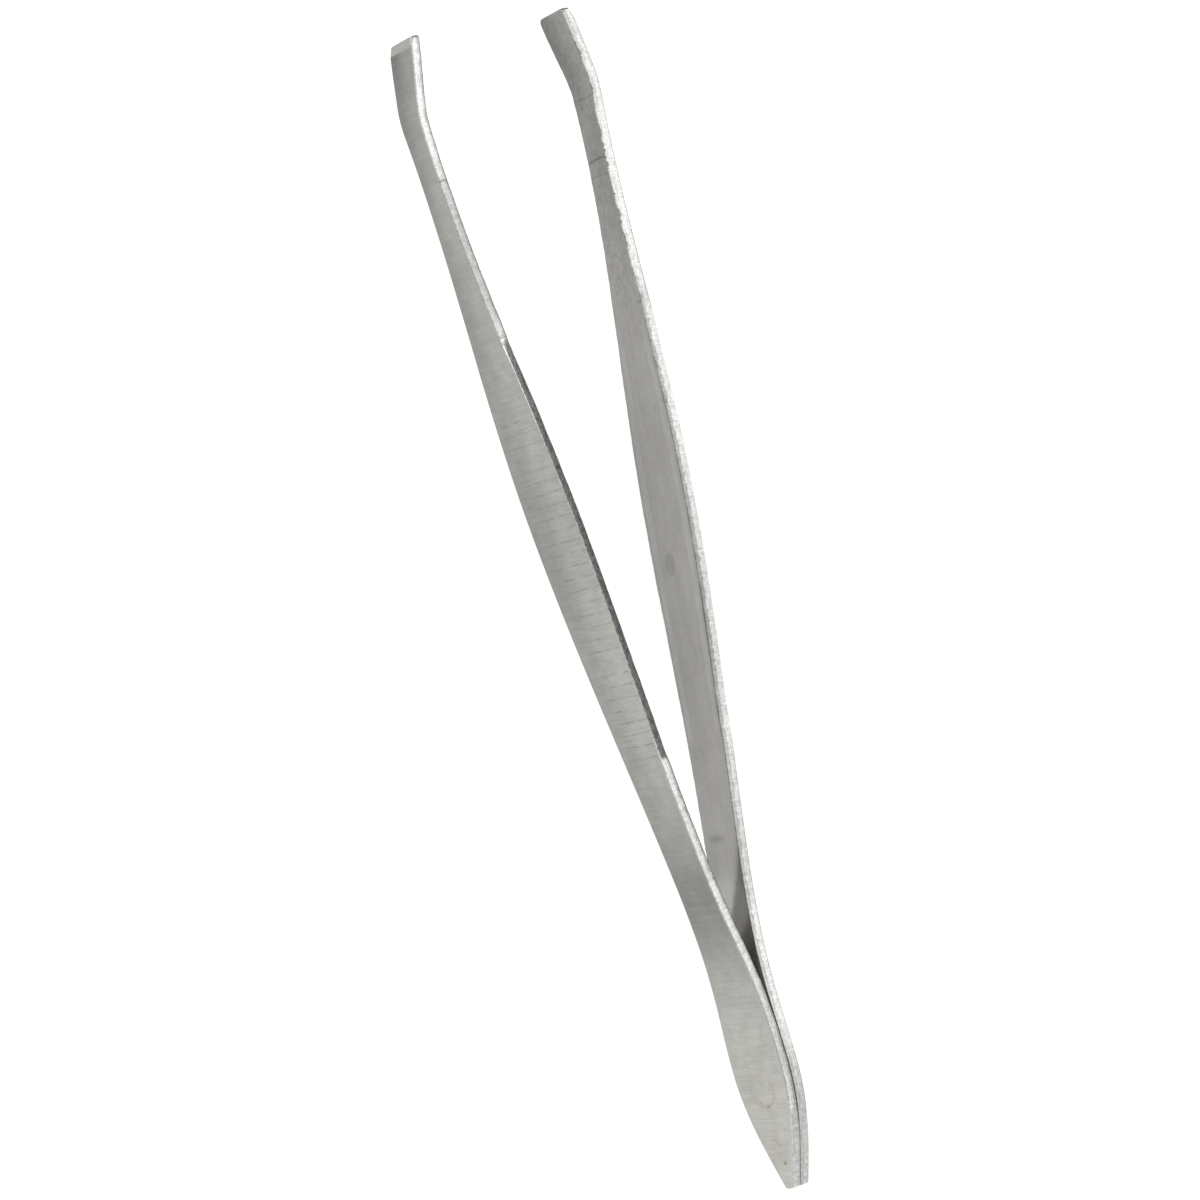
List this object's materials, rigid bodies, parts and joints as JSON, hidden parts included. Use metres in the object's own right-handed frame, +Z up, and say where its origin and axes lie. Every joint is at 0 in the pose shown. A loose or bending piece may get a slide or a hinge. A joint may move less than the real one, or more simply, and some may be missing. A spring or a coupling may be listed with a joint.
{
  "type": "slant tweezers",
  "caption": "Slant-tip tweezers: bowed spring strips spot-welded at the tail, with ribbed finger grips, narrow necks and inward-bent jaws whose ends are slanted by only a degree.",
  "frame": {"origin": "under the middle of the overall length, on the plane of symmetry between the two arms, level with the lowest edge of the strips", "axes": "+X along the tweezers from the welded tail to the jaws, +Y towards the left arm across the opening, +Z up across the width of the strips"},
  "size_m": [0.095, 0.017, 0.0073],
  "materials": {
    "brushed_strip": "fine brushed stainless spring steel, with bright sheared edges",
    "weld_metal": "fused spot-weld metal, sealed between the strips"
  },
  "bodies": {
    "tail": {"left_tail": "brushed_strip", "right_tail": "brushed_strip", "front_weld": "weld_metal", "rear_weld": "weld_metal"},
    "left_arm": {"left_blade": "brushed_strip"},
    "right_arm": {"right_blade": "brushed_strip"}
  },
  "joints": [
    {"name": "left_arm_flex", "type": "hinge", "parent": "tail", "child": "left_arm", "pos_m": [-0.021, 0.00185, 0.00365], "axis": [0, 0, -1], "range_deg": [-2, 5.6], "stiffness_Nm_per_rad": 1.5},
    {"name": "right_arm_flex", "type": "hinge", "parent": "tail", "child": "right_arm", "pos_m": [-0.021, -0.00185, 0.00365], "axis": [0, 0, 1], "range_deg": [-2, 5.6], "stiffness_Nm_per_rad": 1.5}
  ]
}
